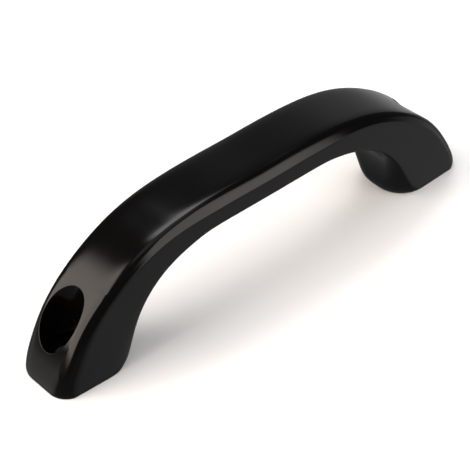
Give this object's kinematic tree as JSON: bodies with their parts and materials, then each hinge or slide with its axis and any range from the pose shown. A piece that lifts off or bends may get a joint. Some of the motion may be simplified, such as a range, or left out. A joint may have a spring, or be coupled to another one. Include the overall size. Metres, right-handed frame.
{
  "type": "car door handle",
  "caption": "Arched moulded pull handle for a vehicle door, on two feet with a deep screw well in each; the hollow grip holds a steel bar behind a snap-in cover.",
  "frame": {"origin": "midway between the two feet, in the plane of their undersides, which is the face of the door panel", "axes": "+X along the handle from foot to foot, +Y across its width, +Z out of the door panel towards the hand"},
  "size_m": [0.18, 0.026, 0.0476],
  "materials": {
    "gloss_black": "polished black moulding, glossy",
    "satin_black": "fine grained black moulding, satin",
    "bare_steel": "rolled steel strip, lightly oiled",
    "zinc_steel": "bright zinc plated",
    "bush_steel": "turned steel, zinc plated",
    "rubber": "matt black rubber"
  },
  "bodies": {
    "root": {"handle_shell": "gloss_black", "grip_cover": "satin_black", "stiffener_bar": "bare_steel", "bar_screw_1": "zinc_steel", "bar_screw_2": "zinc_steel", "bar_screw_3": "zinc_steel", "bar_screw_4": "zinc_steel", "bush_left": "bush_steel", "bush_right": "bush_steel", "gasket_left": "rubber", "gasket_right": "rubber"}
  },
  "joints": []
}
